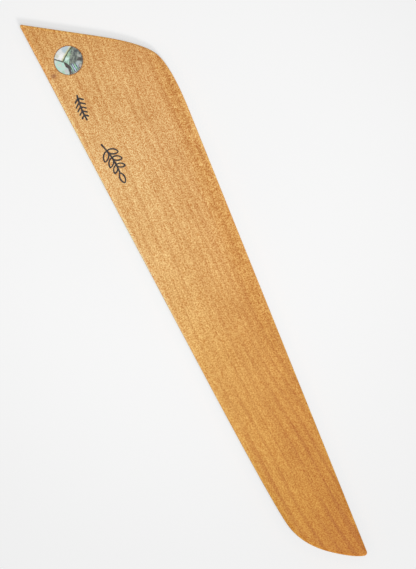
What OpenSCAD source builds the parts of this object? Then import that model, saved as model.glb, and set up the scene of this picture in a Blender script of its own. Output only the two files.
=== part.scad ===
// Wooden bone folder: a tapered flat blade with rounded edges, a slanted handle end,
// and a round shell dot bedded in adhesive in a blind pocket of the show face.
// +X runs along the centreline from the handle end to the scoring tip, +Y points to the
// straight spine edge, and +Z points out of the show face. The blade stands on z = 0.

/* [Blade] */
// Length along the centreline, between the two sharp corners before they are eased
blade_length = 176.2; // [150:0.1:200]
// Width across the two long edges, at half length
mid_width = 26.3; // [22:0.1:32]
// Angle between the two long edges
taper_angle = 5.95; // [3:0.05:8]
// Thickness between the show face and the back face
blade_thickness = 4; // [3:0.1:6]

/* [Handle end] */
// Angle of the slanted handle end to the centreline
slant_angle = 56.7; // [54:0.1:60]
// Length of the slant that the shoulder curve takes up, from the crossing with the spine
shoulder_slant = 19; // [14:0.1:22]
// Length of the slant cut away at the shoulder's first bend, from the same crossing
shoulder_slant_bend = 7.4; // [4:0.1:10]
// Length of the spine cut away at the shoulder's second bend, from the same crossing
shoulder_spine_bend = 4.6; // [3:0.1:8]
// Length of the spine that the shoulder curve takes up, from the same crossing
shoulder_spine = 19.5; // [12:0.1:30]

/* [Nose end] */
// Distance along the centreline from the tip back to the end of the heel curve
heel_start_setback = 75.5; // [45:0.5:85]
// Distance along the centreline from the tip back to the bend where the crease edge turns up
heel_setback = 22.9; // [18:0.1:30]
// Distance along the centreline from the tip back to the nose's lower bend
nose_setback = 10.1; // [8:0.1:13]
// Height of the nose's lower bend above the crease edge
nose_lift = 2.2; // [1.2:0.1:3]
// Distance along the centreline from the tip back to the nose's upper bend
tip_setback = 0.2; // [0.1:0.1:1]
// Height of the tip above the nose's upper bend
tip_drop = 3.1; // [2:0.1:4]

/* [Edges] */
// Radius that eases the sharp corner between the handle end and the creasing edge
pommel_radius = 0.45; // [0.3:0.05:1]
// Radius that eases the tip
tip_radius = 0.9; // [0.4:0.05:1]
// Width of the rounding along the spine and the handle end
spine_round = 0.7; // [0.4:0.05:1.2]
// Extra width of the rounding along the creasing edge and the nose
crease_extra = 0.6; // [0.1:0.05:1]
// Thickness that is left upright at the rim, between the roundings of the two faces
rim_thickness = 2.2; // [0.4:0.1:2.8]

/* [Shell inlay] */
// Diameter of the shell dot
dot_diameter = 8; // [5:0.5:8]
// Thickness of the shell dot
dot_thickness = 1.1; // [0.8:0.05:1.5]
// Thickness of adhesive around and under the dot
adhesive_gap = 0.18; // [0.08:0.01:0.24]
// Distance along the centreline from the pommel corner to the dot's centre
dot_setback = 15.15; // [14.5:0.05:17]
// Height of the dot's centre above the crease edge
dot_inset = 7.65; // [7:0.05:8.5]

/* [Hidden] */

curve_steps = 12;   // straight pieces in each curved stretch of the outline
round_steps = 5;    // bands in the edge rounding
corner_facets = 32; // facets of a full turn of an eased corner
round_facets = 96;  // facets shown on the dot and its pocket

half_taper = taper_angle / 2;
tip_x = blade_length / 2;
pommel_width = mid_width + blade_length * tan(half_taper);
pocket_radius = dot_diameter / 2 + adhesive_gap;
pocket_depth = dot_thickness + adhesive_gap;

// Points on the two long edges, at a distance x along the centreline
function on_spine(x) = [x, mid_width / 2 - x * tan(half_taper)];
function on_crease(x) = [x, x * tan(half_taper) - mid_width / 2];

// A parabolic turn that leaves along start-bend and arrives along bend-end
function turn(start, bend, end) = [
    for (i = [0 : curve_steps])
        let (t = i / curve_steps)
            (1 - t) * (1 - t) * start + 2 * t * (1 - t) * bend + t * t * end
];

// How much easing by a radius shortens a corner along x. Its sides leave at angles a and b to x.
function easing(radius, a, b) = radius * (cos((a + b) / 2) / sin(abs(a - b) / 2) - 1);

// Handle end: the slant runs from the pommel corner and would cross the spine at the crossing
pommel = on_crease(-tip_x);
slant = [cos(slant_angle), sin(slant_angle)];
crossing = pommel + pommel_width / (slant.y + slant.x * tan(half_taper)) * slant;
slant_start = crossing - shoulder_slant * slant;
slant_bend = crossing - shoulder_slant_bend * slant;
shoulder_bend = on_spine(crossing.x + shoulder_spine_bend);
shoulder_end = on_spine(crossing.x + shoulder_spine);
shoulder_middle = (slant_bend + shoulder_bend) / 2;

// Nose end: from the crease edge round the heel and the nose up to the tip on the spine
tip = on_spine(tip_x);
tip_bend = tip - [tip_setback, tip_drop];
nose_bend = on_crease(tip_x - nose_setback) + [0, nose_lift];
heel_bend = on_crease(tip_x - heel_setback);
heel_start = on_crease(tip_x - heel_start_setback);
heel_middle = (heel_bend + nose_bend) / 2;
nose_middle = (nose_bend + tip_bend) / 2;

outline = concat(
    [pommel],
    turn(heel_start, heel_bend, heel_middle),
    turn(heel_middle, nose_bend, nose_middle),
    turn(nose_middle, tip_bend, tip),
    turn(shoulder_end, shoulder_bend, shoulder_middle),
    turn(shoulder_middle, slant_bend, slant_start)
);

// Middle of the eased outline, which is moved to x = 0, y = 0
outline_top = max([for (p = outline) p.y]);
tip_lean = atan2(tip_drop, tip_setback);
middle = [
    (easing(pommel_radius, slant_angle, half_taper) - easing(tip_radius, half_taper, -tip_lean)) / 2,
    (outline_top + pommel.y) / 2
];
dot_centre = on_crease(dot_setback - tip_x) + [0, dot_inset] - middle;

// The half of the outline on one side of half length, with its sharp corner eased by a radius
module eased_half(radius, side) {
    intersection() {
        offset(r = radius, $fn = corner_facets)
            offset(delta = -radius)
                polygon(outline);
        translate([side * tip_x, 0])
            square(2 * tip_x, center = true);
    }
}

module blade_outline() {
    translate(-middle) {
        eased_half(pommel_radius, -1);
        eased_half(tip_radius, 1);
    }
}

// The outline drawn in by a share of the edge rounding, 0 at the rim and 1 on a face.
// The copy moved towards the spine adds the extra width along the crease edge and the nose.
module section(share) {
    intersection() {
        offset(delta = -spine_round * share) blade_outline();
        translate([0, crease_extra * share])
            offset(delta = -spine_round * share) blade_outline();
    }
}

// Slabs of growing height and shrinking outline, joined into one blade with elliptical edges
module blade_body() {
    rounding_height = (blade_thickness - rim_thickness) / 2;
    hull()
        for (i = [0 : round_steps])
            let (angle = 90 * i / round_steps, half = rim_thickness / 2 + rounding_height * sin(angle))
                translate([0, 0, blade_thickness / 2 - half])
                    linear_extrude(2 * half)
                        section(1 - cos(angle));
}

module at_dot() {
    translate([dot_centre.x, dot_centre.y, blade_thickness]) children();
}

module blade() {
    color("peru")
        difference() {
            blade_body();
            at_dot()
                translate([0, 0, -pocket_depth])
                    cylinder(h = pocket_depth + 1, r = pocket_radius, $fn = round_facets);
        }
}

// A shallow cup: the bed under the dot and the thin wall around it
module inlay_adhesive() {
    color("saddlebrown")
        at_dot()
            difference() {
                translate([0, 0, -pocket_depth])
                    cylinder(h = pocket_depth, r = pocket_radius, $fn = round_facets);
                translate([0, 0, -dot_thickness])
                    cylinder(h = dot_thickness + 1, r = dot_diameter / 2, $fn = round_facets);
            }
}

module shell_inlay() {
    color("paleturquoise")
        at_dot()
            translate([0, 0, -dot_thickness])
                cylinder(h = dot_thickness, r = dot_diameter / 2, $fn = round_facets);
}

blade();
inlay_adhesive();
shell_inlay();
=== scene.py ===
"""A wooden bone folder with a shell dot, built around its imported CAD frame."""
import math

import bmesh
import bpy
import numpy as np
from mathutils import Matrix, Vector


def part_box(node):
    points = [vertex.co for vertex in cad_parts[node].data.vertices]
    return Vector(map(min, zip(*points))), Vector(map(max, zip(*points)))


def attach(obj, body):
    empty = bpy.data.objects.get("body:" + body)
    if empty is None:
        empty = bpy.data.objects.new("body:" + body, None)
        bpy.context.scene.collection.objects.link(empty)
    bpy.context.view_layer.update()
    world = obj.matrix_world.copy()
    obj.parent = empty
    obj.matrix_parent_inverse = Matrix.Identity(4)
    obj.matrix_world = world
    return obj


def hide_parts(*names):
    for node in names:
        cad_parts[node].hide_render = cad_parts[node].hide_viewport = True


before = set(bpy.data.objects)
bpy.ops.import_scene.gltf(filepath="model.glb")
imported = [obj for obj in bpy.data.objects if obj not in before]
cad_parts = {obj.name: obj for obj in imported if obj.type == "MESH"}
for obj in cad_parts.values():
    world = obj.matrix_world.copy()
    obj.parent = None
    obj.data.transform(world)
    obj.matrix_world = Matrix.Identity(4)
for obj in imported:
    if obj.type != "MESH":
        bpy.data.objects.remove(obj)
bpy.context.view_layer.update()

MM = 0.001

# ---------------------------------------------------------------------------
# Outline of the blade, in mm, as the CAD part draws it
# ---------------------------------------------------------------------------
BLADE_LENGTH = 176.2
MID_WIDTH = 26.3
HALF_TAPER = math.radians(5.95 / 2)
SLANT_ANGLE = math.radians(56.7)
SHOULDER_SLANT, SHOULDER_SLANT_BEND = 19.0, 7.4
SHOULDER_SPINE_BEND, SHOULDER_SPINE = 4.6, 19.5
HEEL_START_SETBACK, HEEL_SETBACK = 75.5, 22.9
NOSE_SETBACK, NOSE_LIFT = 10.1, 2.2
TIP_SETBACK, TIP_DROP = 0.2, 3.1
POMMEL_RADIUS, TIP_RADIUS = 0.45, 0.9
SPINE_ROUND, CREASE_EXTRA = 0.7, 0.6
RIM_THICKNESS = 2.2

TURN_STEPS = 80        # pieces in each curved stretch
EDGE_POINTS = 230      # points along each side of a ring
CORNER_POINTS = 14     # points round each eased corner
SEARCH_POINTS = 6000   # points tried to find where a corner's easing starts
SMALLEST_EASE = 0.05   # radius that a corner keeps however far a ring is drawn in
ROUND_RINGS = 12       # rings in each face's edge rounding
FACE_BORDER = 0.25     # how far inside the end of the rounding a face's grid of quads starts
FACE_COLUMNS = 22      # quads across a face
DOT_SEGMENTS = 96      # pieces in a full turn of the dot, the glue and the pocket
HAIR = 0.003           # drawn in by this much, the smooth blade stays inside the faceted CAD one
INK_THICKNESS = 0.012  # the show face lies this far under the top of the dried ink

BLADE_LOW, BLADE_HIGH = (np.array(c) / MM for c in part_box("blade"))
DOT_LOW, DOT_HIGH = (np.array(c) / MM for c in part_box("shell_inlay"))
GLUE_LOW, GLUE_HIGH = (np.array(c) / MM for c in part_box("inlay_adhesive"))
THICKNESS = BLADE_HIGH[2]
FACE = THICKNESS - INK_THICKNESS
DOT = (DOT_LOW + DOT_HIGH)[:2] / 2
DOT_RADIUS = (DOT_HIGH - DOT_LOW)[0] / 2
POCKET_RADIUS = (GLUE_HIGH - GLUE_LOW)[0] / 2
POCKET_FLOOR = GLUE_LOW[2]


def on_spine(x):
    """The point on the straight spine edge at a distance x along the centreline."""
    return np.array([x, MID_WIDTH / 2 - x * math.tan(HALF_TAPER)])


def on_crease(x):
    """The point on the straight creasing edge at a distance x along the centreline."""
    return np.array([x, x * math.tan(HALF_TAPER) - MID_WIDTH / 2])


def turn(start, bend, end):
    """A parabolic turn that leaves along start-bend and arrives along bend-end."""
    t = np.linspace(0, 1, TURN_STEPS + 1)[:, None]
    return (1 - t) ** 2 * start + 2 * t * (1 - t) * bend + t * t * end


class Chain:
    """A smooth run of outline points with the outward normal at any distance along it."""

    def __init__(self, points):
        keep = np.r_[True, np.linalg.norm(np.diff(points, axis=0), axis=1) > 1e-6]
        p = points[keep]
        along = np.gradient(p, axis=0)
        n = np.stack([along[:, 1], -along[:, 0]], 1)
        self.s = np.r_[0, np.cumsum(np.linalg.norm(np.diff(p, axis=0), axis=1))]
        self.p, self.n = p, n / np.linalg.norm(n, axis=1)[:, None]
        self.length = self.s[-1]

    def at(self, s):
        """The point and the outward normal at a distance s from the start."""
        p = np.stack([np.interp(s, self.s, self.p[:, i]) for i in (0, 1)], -1)
        n = np.stack([np.interp(s, self.s, self.n[:, i]) for i in (0, 1)], -1)
        return p, n / np.linalg.norm(n, axis=-1, keepdims=True)


TIP_X = BLADE_LENGTH / 2
SPINE_OUT = np.array([math.sin(HALF_TAPER), math.cos(HALF_TAPER)])
SLANT = np.array([math.cos(SLANT_ANGLE), math.sin(SLANT_ANGLE)])
SLANT_OUT = np.array([-SLANT[1], SLANT[0]])
pommel, tip = on_crease(-TIP_X), on_spine(TIP_X)
pommel_width = MID_WIDTH + BLADE_LENGTH * math.tan(HALF_TAPER)
crossing = pommel + pommel_width / (SLANT[1] + SLANT[0] * math.tan(HALF_TAPER)) * SLANT
slant_bend = crossing - SHOULDER_SLANT_BEND * SLANT
shoulder_bend = on_spine(crossing[0] + SHOULDER_SPINE_BEND)
shoulder_middle = (slant_bend + shoulder_bend) / 2
tip_bend = tip - np.array([TIP_SETBACK, TIP_DROP])
nose_bend = on_crease(TIP_X - NOSE_SETBACK) + np.array([0, NOSE_LIFT])
heel_bend = on_crease(TIP_X - HEEL_SETBACK)
heel_middle, nose_middle = (heel_bend + nose_bend) / 2, (nose_bend + tip_bend) / 2

# From the pommel along the creasing edge and the nose to the tip, and back along the spine
LOWER = Chain(np.vstack([
    pommel,
    turn(on_crease(TIP_X - HEEL_START_SETBACK), heel_bend, heel_middle),
    turn(heel_middle, nose_bend, nose_middle),
    turn(nose_middle, tip_bend, tip),
]))
UPPER = Chain(np.vstack([
    tip,
    turn(on_spine(crossing[0] + SHOULDER_SPINE), shoulder_bend, shoulder_middle),
    turn(shoulder_middle, slant_bend, crossing - SHOULDER_SLANT * SLANT),
    pommel,
]))


def lower_inset(s, n):
    """How far the rounding reaches in from the lower edge. Hand sanding leaves it a little uneven."""
    uneven = 0.10 * np.sin(s / 11.0) + 0.06 * np.sin(s / 4.3 + 1.0)
    return SPINE_ROUND + CREASE_EXTRA * np.maximum(0, -n[..., 1]) * (1 + uneven)


def ring(share, extra=0.0):
    """The outline drawn in by a share of the rounding and by extra mm more, before SHIFT moves it."""
    edge = SPINE_ROUND * share + extra
    pommel_ease, tip_ease = (max(r - edge, SMALLEST_EASE) for r in (POMMEL_RADIUS, TIP_RADIUS))

    def lower_depth(s, n):
        return lower_inset(s, n) * share + extra

    def side(chain, start, end, depth):
        s = np.linspace(start, end, EDGE_POINTS)
        p, n = chain.at(s)
        return p - n * np.reshape(depth(s, n), (-1, 1))

    def arc(middle, ease, start, end):
        a0, a1 = (math.atan2(v[1], v[0]) for v in (start, end))
        if a1 < a0:
            a1 += 2 * math.pi
        a = np.linspace(a0, a1, CORNER_POINTS + 2)[1:-1]
        return middle + ease * np.stack([np.cos(a), np.sin(a)], 1)

    # Where the easing circles of the pommel and the tip touch the lower edge
    s = np.linspace(0, LOWER.length, SEARCH_POINTS)
    p, n = LOWER.at(s)
    inset = lower_depth(s, n)
    past_slant = (p - n * (inset + pommel_ease)[:, None] - pommel) @ -SLANT_OUT - (edge + pommel_ease)
    past_spine = (p - n * (inset + tip_ease)[:, None] - tip) @ -SPINE_OUT - (edge + tip_ease)
    first = np.argmax(past_slant > 0)
    last = len(s) - 1 - np.argmax(past_spine[::-1] > 0)
    s0 = np.interp(0, past_slant[first - 1:first + 1], s[first - 1:first + 1])
    s1 = np.interp(0, past_spine[[last + 1, last]], s[[last + 1, last]])

    (p0, p1), (n0, n1) = LOWER.at(np.array([s0, s1]))
    d0, d1 = lower_depth(np.array([s0, s1]), np.array([n0, n1]))
    pommel_centre = p0 - n0 * (d0 + pommel_ease)
    tip_centre = p1 - n1 * (d1 + tip_ease)
    spine_start = (tip_centre - tip) @ np.array([-SPINE_OUT[1], SPINE_OUT[0]])
    slant_end = UPPER.length - (pommel_centre - pommel) @ SLANT
    return np.vstack([
        side(LOWER, s0, s1, lower_depth),
        arc(tip_centre, tip_ease, n1, SPINE_OUT),
        side(UPPER, spine_start, slant_end, lambda s, n: edge),
        arc(pommel_centre, pommel_ease, SLANT_OUT, n0),
    ])


# From the outline's own coordinates to the frame's
widest = ring(0)
SHIFT = (BLADE_LOW + BLADE_HIGH)[:2] / 2 - (widest.min(0) + widest.max(0)) / 2


# ---------------------------------------------------------------------------
# Meshes
# ---------------------------------------------------------------------------
def add_object(name, mesh):
    piece = bpy.data.objects.new(name, mesh)
    bpy.context.scene.collection.objects.link(piece)
    return piece


def finish_mesh(name, bm, shade_smooth=True):
    """Makes an object of a mesh that was drawn in mm."""
    bmesh.ops.recalc_face_normals(bm, faces=bm.faces)
    bmesh.ops.scale(bm, vec=(MM, MM, MM), verts=bm.verts)
    mesh = bpy.data.meshes.new(name)
    bm.to_mesh(mesh)
    bm.free()
    mesh.polygons.foreach_set("use_smooth", [shade_smooth] * len(mesh.polygons))
    return add_object(name, mesh)


def add_loop(bm, points, z):
    return [bm.verts.new((p[0], p[1], z)) for p in points]


def bridge(bm, loops):
    """Joins each loop to the next with a band of quads."""
    for a, b in zip(loops, loops[1:]):
        for i in range(len(a)):
            j = (i + 1) % len(a)
            bm.faces.new((a[i], a[j], b[j], b[i]))


def close_dot(bm, loop, z):
    """Closes a loop round the dot's centre with a fan of triangles."""
    centre = bm.verts.new((DOT[0], DOT[1], z))
    for i in range(len(loop)):
        bm.faces.new((loop[i], loop[(i + 1) % len(loop)], centre))


def circle(centre, radius):
    a = np.linspace(0, 2 * math.pi, DOT_SEGMENTS, endpoint=False)
    return np.array(centre) + radius * np.stack([np.cos(a), np.sin(a)], 1)


def fill_face(bm, loop, z, hole=None, clear_radius=0.0):
    """A flat quad grid between the two sides of a ring. Round a hole it becomes triangles."""
    count = len(loop)
    start = count - CORNER_POINTS // 2  # the middle of the pommel corner
    one = [loop[(start + i) % count] for i in range(count // 2)]
    two = [loop[(start - 1 - i) % count] for i in range(count // 2)]
    rows = []
    for a, b in zip(one, two):
        inner = [bm.verts.new(a.co.lerp(b.co, j / FACE_COLUMNS)) for j in range(1, FACE_COLUMNS)]
        rows.append([a, *inner, b])
    made = []
    for r, q in zip(rows, rows[1:]):
        for j in range(FACE_COLUMNS):
            made.append(bm.faces.new((r[j], r[j + 1], q[j + 1], q[j])))
    if hole is None:
        return

    # Clear the quads near the hole, then fill between the gap's border and the hole's rim
    middle = Vector((DOT[0], DOT[1], z))
    near = [f for f in made if min((v.co - middle).length for v in f.verts) < clear_radius]
    bmesh.ops.delete(bm, geom=near, context="FACES")
    open_edges = [e for e in bm.edges if e.is_boundary and abs(e.verts[0].co.z - z) < 1e-6
                  and (e.verts[0].co - middle).length < clear_radius * 2]
    mouth = set(hole)
    border = [e for e in open_edges if not (e.verts[0] in mouth and e.verts[1] in mouth)]
    rim = [bm.edges.get((hole[i], hole[(i + 1) % len(hole)])) for i in range(len(hole))]
    bmesh.ops.triangle_fill(bm, edges=border + rim, use_beauty=True, normal=(0, 0, 1))


def make_blade():
    """The wood, with elliptical roundings and a blind pocket whose lip is slightly eased."""
    bm = bmesh.new()
    half_round = (FACE - RIM_THICKNESS) / 2
    angles = np.linspace(0, math.pi / 2, ROUND_RINGS + 1)
    outlines = [ring(1 - math.cos(a), HAIR) + SHIFT for a in angles]
    heights = [half_round * (1 - math.sin(a)) for a in angles]
    loops = [add_loop(bm, p, z) for p, z in zip(outlines[::-1], heights[::-1])]
    loops += [add_loop(bm, p, FACE - z) for p, z in zip(outlines, heights)]
    border = ring(1, FACE_BORDER) + SHIFT
    back, show = add_loop(bm, border, 0), add_loop(bm, border, FACE)
    bridge(bm, [back, *loops, show])
    fill_face(bm, back, 0)

    # Radius and height of each ring from the face down the pocket. Close rings keep a bend sharp.
    pocket = [
        (POCKET_RADIUS + 0.45, FACE),
        (POCKET_RADIUS + 0.05, FACE),
        (POCKET_RADIUS, FACE - 0.04),
        (POCKET_RADIUS, FACE - 0.12),
        (POCKET_RADIUS, POCKET_FLOOR + 0.05),
        (POCKET_RADIUS, POCKET_FLOOR),
        (POCKET_RADIUS - 0.05, POCKET_FLOOR),
        (POCKET_RADIUS * 0.5, POCKET_FLOOR),
    ]
    rings = [add_loop(bm, circle(DOT, r), z) for r, z in pocket]
    bridge(bm, rings)
    close_dot(bm, rings[-1], POCKET_FLOOR)
    fill_face(bm, show, FACE, hole=rings[0], clear_radius=POCKET_RADIUS + 0.75)
    return finish_mesh("blade_wood", bm)


def make_adhesive():
    """The set glue: its bed, its wall, and a narrow rim that dips a little between wood and shell."""
    bm = bmesh.new()
    angles = np.linspace(0, 2 * math.pi, DOT_SEGMENTS, endpoint=False)
    # The rim's waviness stays under the show face
    waves = [min(0.012 * math.sin(3 * a) + 0.01 * math.sin(7 * a + 1), 0.015) for a in angles]
    bed = DOT_LOW[2]
    gap = POCKET_RADIUS - DOT_RADIUS
    # Radius, height and share of the waviness, from the bed over the rim to the pocket's floor
    profile = [
        (0.5 * DOT_RADIUS, bed, 0),
        (DOT_RADIUS - 0.05, bed, 0),
        (DOT_RADIUS, bed, 0),
        (DOT_RADIUS, bed + 0.05, 0),
        (DOT_RADIUS, FACE - 0.1, 0),
        (DOT_RADIUS, FACE - 0.02, 0.4),
        (DOT_RADIUS + 0.3 * gap, FACE - 0.03, 1),
        (DOT_RADIUS + 0.7 * gap, FACE - 0.03, 1),
        (POCKET_RADIUS, FACE - 0.02, 0.4),
        (POCKET_RADIUS, FACE - 0.1, 0),
        (POCKET_RADIUS, POCKET_FLOOR + 0.05, 0),
        (POCKET_RADIUS, POCKET_FLOOR, 0),
        (POCKET_RADIUS - 0.05, POCKET_FLOOR, 0),
        (0.5 * POCKET_RADIUS, POCKET_FLOOR, 0),
    ]
    loops = []
    for r, z, share in profile:
        points = circle(DOT, r)
        loops.append([bm.verts.new((p[0], p[1], z + share * w)) for p, w in zip(points, waves)])
    bridge(bm, loops)
    close_dot(bm, loops[0], bed)
    close_dot(bm, loops[-1], POCKET_FLOOR)
    return finish_mesh("adhesive_bed", bm)


def make_shell():
    """The dot: a disc with an eased rim and a face that sanding left very slightly wavy."""
    bm = bmesh.new()
    top, low = FACE + 0.004, DOT_LOW[2]
    dip = 0.008        # mean depth of the waves under the top
    flat_from = 0.985  # share of the radius where the waves end
    loops = []
    for share in np.r_[np.linspace(0.1, 0.97, 22), flat_from]:
        fade = min(1.0, (flat_from - share) / 0.2)
        loop = []
        for u, v in circle((0, 0), DOT_RADIUS * share):
            wave = math.sin(2.1 * u + 0.6) * math.cos(1.7 * v - 0.4) + 0.5 * math.sin(4.1 * v + u)
            depth = dip * fade * (1.5 + wave) / 1.5
            loop.append(bm.verts.new((DOT[0] + u, DOT[1] + v, top - depth)))
        loops.append(loop)
    # The eased rim, the side and the underside, as shares of the radius and heights
    for share, z in ((0.995, top - 0.012), (1.0, top - 0.05), (1.0, top - 0.15),
                     (1.0, low + 0.06), (0.99, low), (0.9, low), (0.4, low)):
        loops.append(add_loop(bm, circle(DOT, DOT_RADIUS * share), z))
    bridge(bm, loops)
    close_dot(bm, loops[0], top - dip)
    close_dot(bm, loops[-1], low)
    return finish_mesh("shell_dot", bm)


# ---------------------------------------------------------------------------
# Pen strokes. No two tops that cross share a plane.
# ---------------------------------------------------------------------------
STEM_WIDTH, BARB_WIDTH, LEAF_WIDTH = 0.52, 0.46, 0.43
LAYER = 0.001           # height between two strokes that cross
INK_SUNK = FACE - 0.01  # the underside of the ink, soaked into the wood


def add_stroke(bm, points, width, top):
    """A pen stroke: a flat closed strip along a line, with round ends and a varying pressure."""
    along = np.gradient(points, axis=0)
    along /= np.linalg.norm(along, axis=1)[:, None]
    beside = np.stack([-along[:, 1], along[:, 0]], 1)
    s = np.r_[0, np.cumsum(np.linalg.norm(np.diff(points, axis=0), axis=1))]
    pressure = 1 + 0.12 * np.sin(s * 1.7 + points[0, 0])
    half = width / 2 * pressure
    to_end = np.minimum(np.minimum(s, s[-1] - s) / half, 1)
    half = half * np.sqrt(np.maximum(1 - (1 - to_end) ** 2, 0.02))
    rows = []
    for p, n, h, share in zip(points, beside, half, s / s[-1]):
        high = top - 2 * LAYER * share  # the ink thins towards the stroke's end
        shoulder = high - 0.003
        section = ((h, INK_SUNK), (h, shoulder), (0.8 * h, high),
                   (-0.8 * h, high), (-h, shoulder), (-h, INK_SUNK))
        rows.append([bm.verts.new((*(p + n * d), z)) for d, z in section])
    bridge(bm, rows)
    bm.faces.new(rows[0])
    bm.faces.new(rows[-1][::-1])


def make_fern():
    """A small pen fern: a nearly straight stem with pairs of short slanting strokes."""
    bm = bmesh.new()
    start, length, bow = np.array([-63.4, -10.2]), 7.8, 0.5

    def stem(t):
        return start + np.stack([length * t, -bow * np.sin(t * 2.4)], -1)

    add_stroke(bm, stem(np.linspace(0, 1, 60)), STEM_WIDTH, THICKNESS)
    t = np.linspace(0, 1, 20)
    for number in range(5):
        size = 1.55 - 0.16 * abs(number - 1)
        for side in (-1, 1):
            barb = np.stack([size * 0.75 * t, side * size * (t + 0.25 * t * (1 - t))], 1)
            add_stroke(bm, stem(0.14 + 0.16 * number) + barb, BARB_WIDTH, THICKNESS - LAYER * (side + 2))
    return finish_mesh("ink_fern", bm, shade_smooth=False)


def make_sprig():
    """A leaf sprig in pen: a bowed stem, pairs of open leaves and one at its end."""
    bm = bmesh.new()
    start, length, bow = np.array([-48.0, -9.9]), 9.6, 1.5

    def stem(t):
        return start + np.stack([length * t, bow * np.sin(t * 1.9)], -1)

    def leaf(base, lean, size, top):
        t = np.linspace(0, 1, 60)
        swing = np.sin(2 * math.pi * t)
        u = size * (1 - np.cos(2 * math.pi * t)) / 2
        v = size * 0.23 * swing * np.abs(swing) ** 0.4
        c, k = math.cos(lean), math.sin(lean)
        add_stroke(bm, base + np.stack([u * c - v * k, u * k + v * c], 1), LEAF_WIDTH, top)

    add_stroke(bm, stem(np.linspace(0, 1, 60)), STEM_WIDTH, THICKNESS)
    for number, share in enumerate((0.26, 0.50, 0.74)):
        for side in (-1, 1):
            leaf(stem(share), 0.25 + side * 0.85, 3.1 - 0.35 * number, THICKNESS - LAYER * (side + 2))
    leaf(stem(1.0), 0.05, 3.0, THICKNESS - LAYER)
    return finish_mesh("ink_sprig", bm, shade_smooth=False)


# ---------------------------------------------------------------------------
# Camera, floor and light. Across and up are the picture's own directions on the table.
# ---------------------------------------------------------------------------
TURN = math.radians(24.905)  # how far the centreline leans from upright in the picture
ACROSS = Vector((math.sin(TURN), math.cos(TURN), 0))
UP = Vector((-math.cos(TURN), math.sin(TURN), 0))
AIM = Vector((0.27, 0.74, 2.0)) * MM  # the middle of the picture, half way up the blade's thickness

# Camera, in metres but for the sensor's long side, which is upright in this picture, in mm
VIEW_HEIGHT = 0.15984
CAMERA_DISTANCE = 0.60
NEAREST, FARTHEST = 0.01, 20
SENSOR_SIZE = 36

FLOOR_HALF = 3.0
# The paper's white, and its painted glow and how much that glow drops outwards
FLOOR_WHITE, FLOOR_GLOW, GLOW_DROP = 0.36, 0.575, 0.075
WORLD_STRENGTH = 0.25

# Distances from AIM in metres across and up the picture and upwards, diameter, and power in watts
LIGHTS = {
    "overhead": (0.20, -0.20, 1.25, 0.55, 7.0),
    "near": (0.32, -0.60, 0.95, 0.24, 5.6),
}


def place(across, up, height):
    """A position given by its distances from AIM, in metres."""
    return AIM + ACROSS * across + UP * up + Vector((0, 0, height))


def make_camera():
    data = bpy.data.cameras.new("camera")
    data.sensor_width = SENSOR_SIZE
    data.lens = SENSOR_SIZE * CAMERA_DISTANCE / VIEW_HEIGHT
    data.clip_start, data.clip_end = NEAREST, FARTHEST
    camera = bpy.data.objects.new("camera", data)
    bpy.context.scene.collection.objects.link(camera)
    camera.matrix_world = Matrix((
        (ACROSS.x, UP.x, 0, 0), (ACROSS.y, UP.y, 0, 0), (0, 0, 1, 0), (0, 0, 0, 1)))
    camera.location = place(0, 0, CAMERA_DISTANCE)
    bpy.context.scene.camera = camera


def make_light(name, across, up, height, size, power):
    data = bpy.data.lights.new(name, "AREA")
    data.shape = "DISK"
    data.size, data.energy = size, power
    light = bpy.data.objects.new(name, data)
    bpy.context.scene.collection.objects.link(light)
    light.location = place(across, up, height)
    light.rotation_mode = "QUATERNION"
    light.rotation_quaternion = (AIM - light.location).to_track_quat("-Z", "Y")


def make_world():
    world = bpy.data.worlds.new("studio")
    world.use_nodes = True
    background = world.node_tree.nodes["Background"]
    background.inputs["Color"].default_value = (1, 1, 1, 1)
    background.inputs["Strength"].default_value = WORLD_STRENGTH
    bpy.context.scene.world = world


def make_floor():
    bm = bmesh.new()
    bmesh.ops.create_grid(bm, x_segments=8, y_segments=8, size=FLOOR_HALF)
    mesh = bpy.data.meshes.new("floor")
    bm.to_mesh(mesh)
    bm.free()
    return add_object("floor", mesh)


# ---------------------------------------------------------------------------
# Materials
# ---------------------------------------------------------------------------
WHITE = (1.0, 1.0, 1.0)


class Out:
    """A node's output, wrapped so that it can be used in arithmetic."""

    def __init__(self, socket):
        self.socket = socket

    def __add__(self, other):
        return maths("ADD", self, other)

    def __sub__(self, other):
        return maths("SUBTRACT", self, other)

    def __rsub__(self, other):
        return maths("SUBTRACT", other, self)

    def __mul__(self, other):
        return maths("MULTIPLY", self, other)


def put(socket, value):
    """Links an output to a socket, or sets the socket to a plain value."""
    if isinstance(value, Out):
        socket.id_data.links.new(value.socket, socket)
    else:
        socket.default_value = value


def new_node(tree, kind, inputs=(), output=0, **settings):
    """Adds a node with its settings and inputs, and returns one of its outputs."""
    made = tree.nodes.new(kind)
    for name, value in settings.items():
        setattr(made, name, value)
    for key, value in dict(inputs).items():
        put(made.inputs[key], value)
    return Out(made.outputs[output])


def tree_of(*values):
    """The node tree that holds the first output among some values."""
    return next(v.socket.id_data for v in values if isinstance(v, Out))


def maths(operation, *values):
    return new_node(tree_of(*values), "ShaderNodeMath", enumerate(values), operation=operation)


def smooth(value, low, high, start=0.0, end=1.0):
    """Goes from start to end as value goes from low to high."""
    inputs = {"Value": value, "From Min": low, "From Max": high, "To Min": start, "To Max": end}
    return new_node(tree_of(value), "ShaderNodeMapRange", inputs, interpolation_type="SMOOTHSTEP")


def vector(x, y, z):
    return new_node(tree_of(x, y, z), "ShaderNodeCombineXYZ", {"X": x, "Y": y, "Z": z})


def noise(at, scale=1.0, detail=2.0, roughness=0.5, distortion=0.0):
    """Soft noise about 0.5, with one feature per unit at a scale of 1."""
    inputs = {"Vector": at, "Scale": scale, "Detail": detail,
              "Roughness": roughness, "Distortion": distortion}
    return new_node(tree_of(at), "ShaderNodeTexNoise", inputs)


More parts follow.
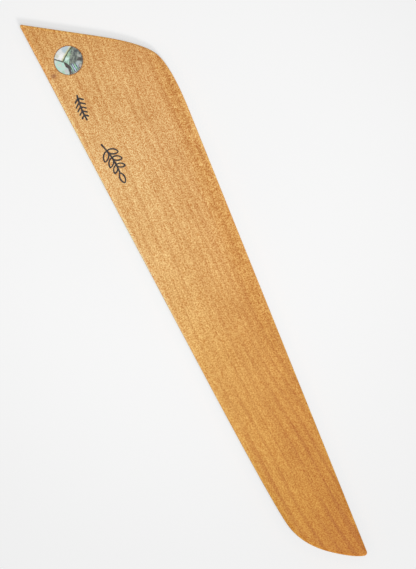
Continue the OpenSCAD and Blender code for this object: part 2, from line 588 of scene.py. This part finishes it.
def split(at):
    """The x, y and z of a vector."""
    made = tree_of(at).nodes.new("ShaderNodeSeparateXYZ")
    put(made.inputs[0], at)
    return [Out(s) for s in made.outputs]


def distance(at, centre):
    return new_node(tree_of(at), "ShaderNodeVectorMath", {0: at, 1: centre}, output=1, operation="DISTANCE")


def rgb(red, green, blue):
    """A display colour from 0 to 255, as the linear colour a shader takes."""
    def linear(v):
        v /= 255
        return v / 12.92 if v <= 0.04045 else ((v + 0.055) / 1.055) ** 2.4
    return (linear(red), linear(green), linear(blue), 1.0)


def mix(factor, a, b, blend="MIX"):
    """Colour a where factor is 0, and b (or a blended with b) where it is 1."""
    tree = tree_of(factor, a, b)
    made = tree.nodes.new("ShaderNodeMix")
    made.data_type, made.blend_type = "RGBA", blend
    for index, value in ((0, factor), (6, a), (7, b)):
        put(made.inputs[index], value)
    return Out(made.outputs[2])


def ramp(value, stops):
    """A colour that runs through stops, each a value and its colour."""
    made = tree_of(value).nodes.new("ShaderNodeValToRGB")
    put(made.inputs[0], value)
    steps = made.color_ramp.elements
    while len(steps) < len(stops):
        steps.new(0.5)
    for step, (position, colour) in zip(steps, stops):
        step.position, step.color = position, colour
    return Out(made.outputs[0])


def curve(value, points):
    """A smooth function of value, from 0 to 1, through a few points."""
    made = tree_of(value).nodes.new("ShaderNodeFloatCurve")
    put(made.inputs["Value"], value)
    line = made.mapping.curves[0]
    line.points[0].location, line.points[1].location = points[0], points[-1]
    for point in points[1:-1]:
        line.points.new(*point)
    made.mapping.update()
    return Out(made.outputs[0])


def new_material(name, roughness, specular=0.5):
    """A material, its shader, its tree, and the position on the object in mm."""
    material = bpy.data.materials.new(name)
    material.use_nodes = True
    tree = material.node_tree
    shader = tree.nodes["Principled BSDF"]
    put(shader.inputs["Roughness"], roughness)
    put(shader.inputs["Specular IOR Level"], specular)
    on_object = new_node(tree, "ShaderNodeTexCoord", output=3)
    at = new_node(tree, "ShaderNodeVectorMath", {0: on_object, "Scale": 1 / MM}, operation="SCALE")
    return material, shader, tree, at, split(at)


def bump(shader, height, depth):
    """Shades a relief of a height from 0 to 1, which is depth mm deep."""
    inputs = {"Height": height, "Distance": depth * MM, "Strength": 1.0}
    put(shader.inputs["Normal"], new_node(tree_of(height), "ShaderNodeBump", inputs))


def tinted(colour, factor, low, high):
    """Multiplies a colour by red, green and blue shares that go from low to high as factor rises."""
    return mix(1.0, colour, mix(factor, (*low, 1.0), (*high, 1.0)), "MULTIPLY")


def wood_material():
    """Golden softwood: growth lines along the blade, fine flecks, and curly figure beside the spine."""
    material, shader, tree, _, (x, y, z) = new_material("golden_softwood", 0.58, 0.22)

    # Distance below the spine edge, and distance above the crease edge
    slope = math.tan(HALF_TAPER)
    from_spine = (MID_WIDTH / 2 + SHIFT[1]) - (x * slope) - y
    from_crease = y - (x * slope) + (MID_WIDTH / 2 - SHIFT[1])

    # Along the blade the colour deepens from pale gold to orange, and it is deeper beside the spine
    along = new_node(tree, "ShaderNodeMapRange", {"Value": x, "From Min": -90.0, "From Max": 90.0})
    colour = ramp(along, (
        (0.00, rgb(214, 155, 83)), (0.12, rgb(226, 172, 104)), (0.27, rgb(231, 181, 115)),
        (0.45, rgb(230, 177, 106)), (0.60, rgb(221, 163, 85)), (0.75, rgb(216, 155, 73)),
        (0.88, rgb(205, 142, 59)), (1.00, rgb(197, 129, 50))))
    colour = tinted(colour, smooth(from_spine, 24.0, 3.0), WHITE, (0.93, 0.85, 0.77))

    # The grain runs almost straight in the handle and bends up towards the tip
    past = maths("MAXIMUM", x - 10.0, 0.0)
    bend = maths("DIVIDE", past * past, past + 25.0)
    wander = noise(vector(x * 0.022, y * 0.05, z * 0.05), 1.0, 1.0)
    level = y + x * 0.014 - bend * 0.125 + wander * 3.0 + z * 0.5

    # Each year's growth darkens slowly and ends in a thin brown line
    uneven = noise(vector(x * 0.012, level * 0.5, z * 0.1), 1.0, 2.0, 0.55)
    year = level * smooth(x, 20.0, 55.0, 0.415, 0.33) + uneven * 0.9
    ripened = maths("FRACT", year)
    late = smooth(ripened, 0.35, 0.88) * smooth(ripened, 1.0, 0.91)
    broken = smooth(noise(vector(x * 0.035, level * 1.1, z * 0.4), 1.0, 2.0, 0.6), 0.30, 0.56)
    band = late * broken
    strength = smooth(x, -50.0, -22.0, 0.72, 0.55) + smooth(x, 20.0, 50.0, 0.0, 0.5)
    colour = tinted(colour, band * strength, (1.02, 1.03, 1.04), (0.86, 0.74, 0.62))

    # Finer lines between them, and soft clouds of lighter and darker wood
    fine = noise(vector(x * 0.05, level * 2.0, z * 0.8), 1.0, 2.0, 0.6)
    colour = tinted(colour, smooth(fine, 0.35, 0.65), (0.95, 0.91, 0.87), (1.035, 1.06, 1.08))
    cloud = noise(vector(x * 0.10 + y * 0.06, y * 0.21 - x * 0.03, z * 0.2), 1.0, 2.0, 0.55, 0.5)
    colour = tinted(colour, smooth(cloud, 0.3, 0.7), (0.96, 0.94, 0.90), (1.03, 1.05, 1.07))

    # Curly figure beside the spine: more orange, with short ripples square to the edge
    across_strip = smooth(from_spine, 7.5, 2.0) * smooth(from_spine, 0.3, 1.5)
    curly = across_strip * smooth(x, -72.0, -60.0) * smooth(x, 52.0, -12.0)
    curl = noise(vector(x * 1.25 + y * 0.15, from_spine * 0.62 + x * 0.1, z * 0.3), 1.0, 2.0, 0.6, 0.8)
    colour = tinted(colour, curly, WHITE, (1.04, 1.03, 0.93))
    colour = tinted(colour, smooth(curl, 0.36, 0.64) * curly, WHITE, (0.84, 0.73, 0.58))

    # Flecks: paler and browner specks a few tenths of a mm across
    specks = noise(vector(x * 0.86 + y * 0.55, y * 0.84 - x * 0.58, z), 3.2, 2.0, 0.7, 0.4)
    contrast = smooth(x, -20.0, 75.0, 1.0, 0.8) + curly * 0.15
    fleck = (smooth(specks, 0.34, 0.66) - 0.5) * contrast + 0.5
    colour = tinted(colour, fleck, (0.74, 0.50, 0.26), (1.24, 1.53, 1.95))
    pores = smooth(noise(vector(x * 1.5, y * 3.0, z * 3.0), 1.0, 2.0, 0.6), 0.63, 0.72)
    colour = mix(pores * 0.3, colour, rgb(150, 92, 42))

    # A pin knot near the crease edge, a little longer across the grain
    squash = 0.8
    knot = distance(vector(x, y * squash, z), (-70.8, -13.9 * squash, THICKNESS))
    colour = mix(smooth(knot + specks * 1.2, 2.6, 0.9) * 0.25, colour, rgb(176, 108, 60))
    colour = mix(smooth(knot + specks * 0.6, 1.15, 0.5) * 0.6, colour, rgb(146, 90, 62))

    # Painted highlights: the edge roundings are painted lighter, most of all the crease edge, to stand in
    # for light on them. The upright rim keeps its colour.
    normal_z = split(new_node(tree, "ShaderNodeNewGeometry", output=1))[2]
    flatness = maths("ABSOLUTE", normal_z)
    not_upright = smooth(flatness, 0.03, 0.2)
    # Painted highlight along the crease edge's rounding
    crease_highlight = smooth(from_crease, 1.15, 0.4) * smooth(x, 60.0, -30.0, 0.4, 1.0) * not_upright
    colour = tinted(colour, crease_highlight, WHITE, (1.36, 1.40, 1.55))
    colour = tinted(colour, crease_highlight * smooth(x, -45.0, -10.0), WHITE, (0.99, 1.06, 1.28))
    # Painted highlight along the spine edge's rounding
    spine_highlight = smooth(from_spine, 1.5, 0.6) * smooth(x, 20.0, -20.0) * not_upright
    colour = tinted(colour, spine_highlight, WHITE, (1.05, 1.05, 0.96))
    # Painted highlight on every sloping rounding, paler and bluer towards the tip
    rounding_highlight = smooth(flatness, 0.97, 0.55) * (1.0 - crease_highlight) * not_upright
    colour = tinted(colour, rounding_highlight, WHITE, (1.24, 1.18, 1.0))
    colour = tinted(colour, rounding_highlight * smooth(x, -10.0, 50.0), WHITE, (1.0, 1.2, 1.45))
    # Painted highlight along the slanted end's rounding
    corner = pommel + SHIFT
    from_slant = (x - corner[0]) * -SLANT_OUT[0] - (y - corner[1]) * SLANT_OUT[1]
    slant_highlight = smooth(from_slant, 1.0, 0.5) * not_upright
    colour = tinted(colour, slant_highlight, WHITE, (1.22, 1.19, 1.06))
    colour = mix(1.0, colour, (*WHITE, 1.0), "DARKEN")
    put(shader.inputs["Base Color"], colour)
    put(shader.inputs["Roughness"], smooth(specks + band * 0.2, 0.3, 0.9, 0.64, 0.52))
    bump(shader, specks * 0.6 + fine * 0.5 + curl * curly * 0.3 - pores * 0.6, 0.007)
    return material


def shell_material():
    """Sea shell cut across its growth lines: pale panels, dark seams between them, and a mottled side."""
    material, shader, tree, at, (x, y, z) = new_material("sea_shell", 0.22, 0.5)

    # Position across and up the picture, in radii from the dot's centre, with a little smear
    smear_u = noise(at, 1.3, 2.0, 0.6)
    smear_v = noise(vector(x + 30.0, y, z), 1.3, 2.0, 0.6)
    right, ahead = (x - DOT[0]) * (1 / DOT_RADIUS), (y - DOT[1]) * (1 / DOT_RADIUS)
    u = right * ACROSS.x + ahead * ACROSS.y + (smear_u - 0.5) * 0.10
    v = right * UP.x + ahead * UP.y + (smear_v - 0.5) * 0.10

    # Three seams meet at one point and divide the dot. The lower one is a wide curved band.
    meet_u, meet_v = -0.385, -0.115
    du, dv = u - meet_u, v - meet_v
    right_of_upper = du * 0.93 - dv * 0.353 - dv * dv * 0.177
    up_the_seam = du * 0.351 + dv * 0.936
    above_left = du * 0.276 + dv * 0.961
    down = dv * -1.0
    into_band = du - curve(down, ((0, 0), (0.28, 0.16), (0.56, 0.39), (1, 0.47)))
    out_of_band = du - curve(down, ((0, 0.05), (0.14, 0.33), (0.39, 0.55), (1, 0.53)))

    def spot(su, sv, radius, squash=1.0, lean=0.0):
        """1 inside a soft oval, 0 outside it."""
        c, s = math.cos(lean), math.sin(lean)
        a = (u - su) * c + (v - sv) * s
        b = ((v - sv) * c - (u - su) * s) * squash
        far = new_node(tree, "ShaderNodeVectorMath", {0: vector(a, b, 0.0)}, output=1, operation="LENGTH")
        return smooth(far + (smear_u - 0.5) * 0.2, radius * 1.3, radius * 0.6)

    def daub(colour, *spots):
        """Paints spots over a colour, each with a share of a paint of its own."""
        for where, share, paint in spots:
            colour = mix(spot(*where) * share, colour, rgb(*paint))
        return colour

    # Mottled side, with a rippled mint strip beside the upper seam
    mottle = noise(vector(x * 1.4, y * 1.4, z), 1.0, 3.0, 0.65, 0.6)
    colour = mix(smooth(mottle, 0.35, 0.65), rgb(88, 92, 90), rgb(150, 160, 146))
    strip_edge = right_of_upper + up_the_seam * 0.36 - 0.48
    ripple = maths("SINE", right_of_upper * 34.0 + up_the_seam * 12.0 + mottle * 14.0)
    mint = mix(smooth(mottle, 0.42, 0.6), rgb(150, 192, 164), rgb(192, 224, 202))
    mint = mix(smooth(ripple, 0.45, 0.95) * 0.55, mint, rgb(74, 96, 84))
    colour = mix(smooth(strip_edge, 0.03, -0.05), colour, mint)
    colour = mix(smooth(maths("ABSOLUTE", strip_edge), 0.045, 0.0) * 0.6, colour, rgb(72, 78, 70))
    colour = daub(
        colour,
        ((-0.12, 0.08, 0.14), 0.9, (222, 250, 240)),
        ((0.02, 0.42, 0.13), 0.6, (186, 210, 170)),
        ((0.08, 1.0, 0.2), 0.7, (120, 106, 92)),
        ((0.74, 0.34, 0.17, 1.6, -0.4), 0.85, (182, 184, 176)),
        ((0.78, 0.08, 0.19, 1.3), 0.9, (74, 66, 64)),
        ((0.52, 0.62, 0.2, 1.4, 0.6), 0.6, (84, 88, 92)),
        ((0.68, -0.18, 0.2, 1.3, 0.5), 0.85, (186, 196, 194)),
        ((0.86, -0.36, 0.12), 0.8, (206, 190, 178)),
    )

    # Fine lines of colour low on the mottled side
    over_lines = u * 0.87 + v * 0.49 + (mottle - 0.5) * 0.05
    broad, narrow = maths("SINE", over_lines * 19.0), maths("SINE", over_lines * 46.0)
    lined = mix(smooth(broad, -0.6, 0.6), rgb(168, 216, 184), rgb(204, 216, 244))
    lined = mix(smooth(narrow, 0.0, 0.7) * 0.9, lined, rgb(48, 58, 60))
    colour = mix(spot(0.40, -0.52, 0.30) * 0.95, colour, lined)

    # Pale panels to the left
    sheen = noise(vector(x * 0.9 + 9.0, y * 0.9, z), 1.0, 2.0, 0.5)
    left_panel = daub(
        mix(smooth(sheen, 0.4, 0.62), rgb(192, 232, 216), rgb(214, 222, 212)),
        ((0.0, -0.72, 0.25), 0.5, (206, 200, 208)),
        ((-0.35, -0.9, 0.16), 0.6, (162, 204, 168)),
    )
    top_panel = daub(
        mix(smooth(sheen, 0.42, 0.66), rgb(236, 236, 234), rgb(222, 226, 220)),
        ((-0.46, 0.2, 0.25), 0.9, (255, 253, 251)),
        ((-0.22, 0.78, 0.28), 0.8, (186, 206, 216)),
    )
    top_panel = mix(smooth(right_of_upper, -0.19, -0.06) * 0.85, top_panel, rgb(208, 210, 150))
    top_panel = daub(top_panel, ((-0.85, 0.3, 0.16), 0.5, (204, 204, 170)))
    is_top = smooth(right_of_upper, 0.02, -0.02) * smooth(above_left, -0.02, 0.02)
    is_left = smooth(above_left, 0.02, -0.02) * smooth(into_band, 0.02, -0.02)
    colour = mix(is_top, colour, top_panel)
    colour = mix(is_left, colour, left_panel)

    # The seams themselves
    in_band = smooth(into_band, -0.01, 0.04) * smooth(out_of_band, 0.02, -0.05) * smooth(down, -0.02, 0.03)
    upper_seam = smooth(maths("ABSOLUTE", right_of_upper), 0.065, 0.025) * smooth(up_the_seam, -0.02, 0.04)
    left_seam = smooth(maths("ABSOLUTE", above_left), 0.065, 0.02) * smooth(du, 0.03, -0.02)
    seam = maths("MAXIMUM", upper_seam * 0.88, left_seam * 0.92)
    colour = mix(seam, colour, rgb(76, 74, 60))
    colour = mix(in_band, colour, rgb(84, 72, 68))

    # Growth layers too fine to see one by one
    layers = maths("SINE", (u * 0.5 + v * 0.86 + smear_u * 0.25) * 48.0)
    colour = mix(smooth(layers, 0.2, 1.0) * 0.10, colour, rgb(120, 140, 150))
    put(shader.inputs["Base Color"], colour)
    put(shader.inputs["Roughness"], smooth(mottle, 0.3, 0.7, 0.16, 0.30))
    put(shader.inputs["Coat Weight"], 0.35)
    put(shader.inputs["Coat Roughness"], 0.12)
    bump(shader, mottle * 0.3 + layers * 0.05 - in_band * 0.5 - seam * 0.5, 0.02)
    return material


def adhesive_material():
    """Dark brown set glue with bits of wood dust in it."""
    material, shader, _, at, _ = new_material("set_glue", 0.35)
    dust = noise(at, 3.0, 2.0, 0.6)
    put(shader.inputs["Base Color"], mix(smooth(dust, 0.4, 0.65), rgb(122, 72, 38), rgb(176, 112, 58)))
    bump(shader, dust, 0.01)
    return material


def ink_material():
    """Pen ink that has soaked into the wood unevenly."""
    material, shader, _, at, _ = new_material("pen_ink", 0.6, 0.3)
    soak = noise(at, 2.6, 3.0, 0.7)
    put(shader.inputs["Base Color"], mix(smooth(soak, 0.46, 0.72), rgb(44, 45, 52), rgb(104, 84, 66)))
    bump(shader, soak, 0.01)
    return material


def floor_material():
    """White paper with a painted glow, as on a light table, and a painted pool of light: the glow fades a
    little outwards.
    """
    material, shader, tree, _, (x, y, _) = new_material("white_paper", 0.95, 0.0)
    put(shader.inputs["Base Color"], (FLOOR_WHITE, FLOOR_WHITE, FLOOR_WHITE, 1.0))
    # Painted pool of light: the paper's glow is strongest round the blade and fades outwards
    middle = (AIM + UP * 0.030 - ACROSS * 0.012) / MM
    away = distance(vector(x, y, 0.0), (middle.x, middle.y, 0.0))
    put(shader.inputs["Emission Strength"], smooth(away, 40.0, 135.0, FLOOR_GLOW, FLOOR_GLOW - GLOW_DROP))

    # Painted shade: close beside the blade the paper's glow is darkened, and made cooler to balance the
    # warm light off the wood
    open_sky = new_node(tree, "ShaderNodeAmbientOcclusion", {"Distance": 4 * MM}, output=1, samples=8)
    put(shader.inputs["Emission Color"], mix(open_sky, (0.77, 0.90, 0.98, 1.0), (*WHITE, 1.0)))
    return material


blade = make_blade()
adhesive = make_adhesive()
shell = make_shell()
ink = [make_fern(), make_sprig()]
floor = make_floor()
floor.data.materials.append(floor_material())
blade.data.materials.append(wood_material())
adhesive.data.materials.append(adhesive_material())
shell.data.materials.append(shell_material())
pen_ink = ink_material()
for piece in ink:
    piece.data.materials.append(pen_ink)
    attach(piece, "root")
make_world()
for name, light in LIGHTS.items():
    make_light(name, *light)

for piece, node, slot in ((blade, "blade", "blade_wood"), (adhesive, "inlay_adhesive", "inlay_adhesive"),
                          (shell, "shell_inlay", "shell")):
    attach(piece, "root")
    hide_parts(node)

make_camera()
bpy.context.scene.view_settings.view_transform = "Standard"
